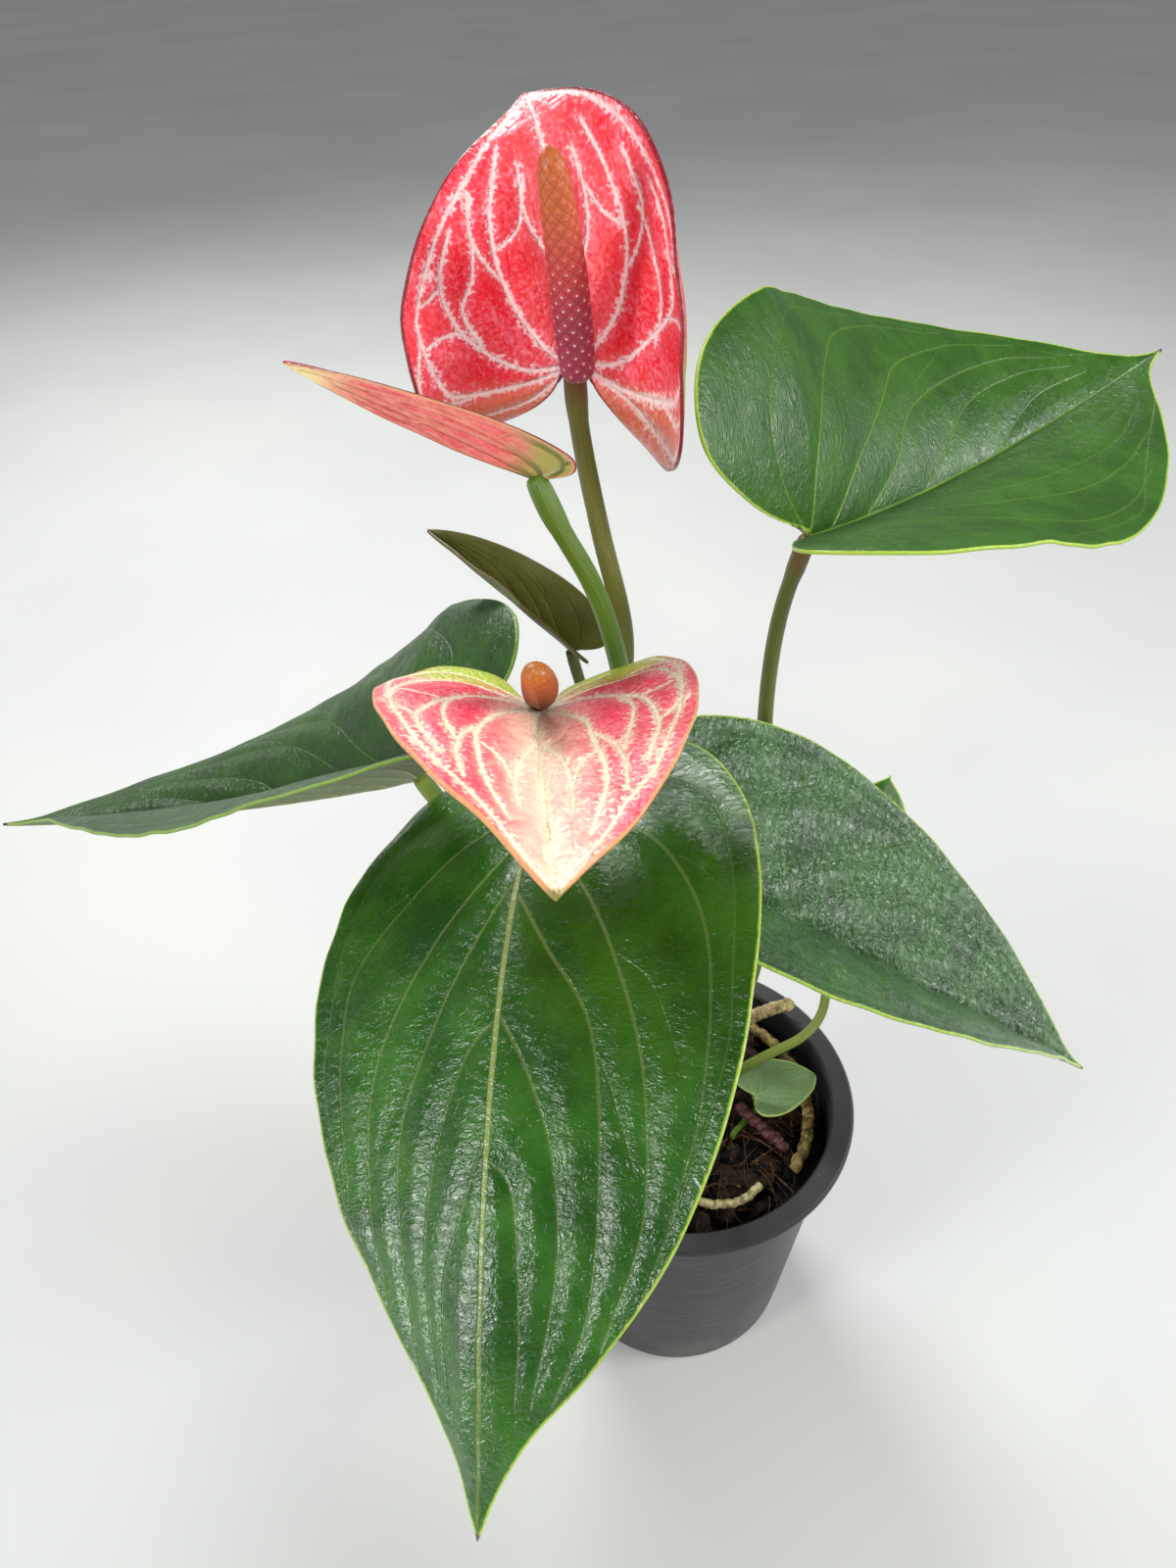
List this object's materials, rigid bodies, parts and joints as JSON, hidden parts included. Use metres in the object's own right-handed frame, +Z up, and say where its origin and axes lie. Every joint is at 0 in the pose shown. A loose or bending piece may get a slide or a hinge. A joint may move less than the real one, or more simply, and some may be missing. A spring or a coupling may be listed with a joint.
{
  "type": "potted anthurium",
  "caption": "Potted flowering plant with heart-shaped glossy leaves, red veined spathes and upright spadices, rooted in a small tapered pot.",
  "frame": {"origin": "the middle of the pot's flat underside", "axes": "+Z up along the pot's axis, -Y to the front where the big drooping leaf and the low flower point, +X to the right"},
  "size_m": [0.3784, 0.2934, 0.3706],
  "materials": {
    "pot_plastic": "satin black, fine moulding lines",
    "potting_mix": "moist peat and bark, rough",
    "leaf_green": "waxy gloss, quilted between pale veins",
    "stem_green": "smooth satin",
    "spathe_red": "waxy gloss, mottled red with pale veins",
    "spadix_orange": "fine raised dots, satin",
    "root_tan": "dry, ringed"
  },
  "bodies": {
    "root": {"pot": "pot_plastic", "potting_mix": "potting_mix", "crown": "stem_green", "leaf_front": "leaf_green", "leaf_right": "leaf_green", "leaf_upper_right": "leaf_green", "leaf_left": "leaf_green", "leaf_young": "leaf_green", "leaf_back": "leaf_green", "leaf_small": "leaf_green", "petiole_front": "stem_green", "petiole_right": "stem_green", "petiole_upper_right": "stem_green", "petiole_left": "stem_green", "petiole_young": "stem_green", "petiole_back": "stem_green", "petiole_small": "stem_green", "peduncle_top": "stem_green", "peduncle_left": "stem_green", "peduncle_front": "stem_green", "spathe_top": "spathe_red", "spathe_left": "spathe_red", "spathe_front": "spathe_red", "spadix_top": "spadix_orange", "spadix_left": "spadix_orange", "spadix_front": "spadix_orange", "rim_root": "root_tan", "front_root": "root_tan", "red_root": "root_tan", "old_stalk": "root_tan"}
  },
  "joints": []
}
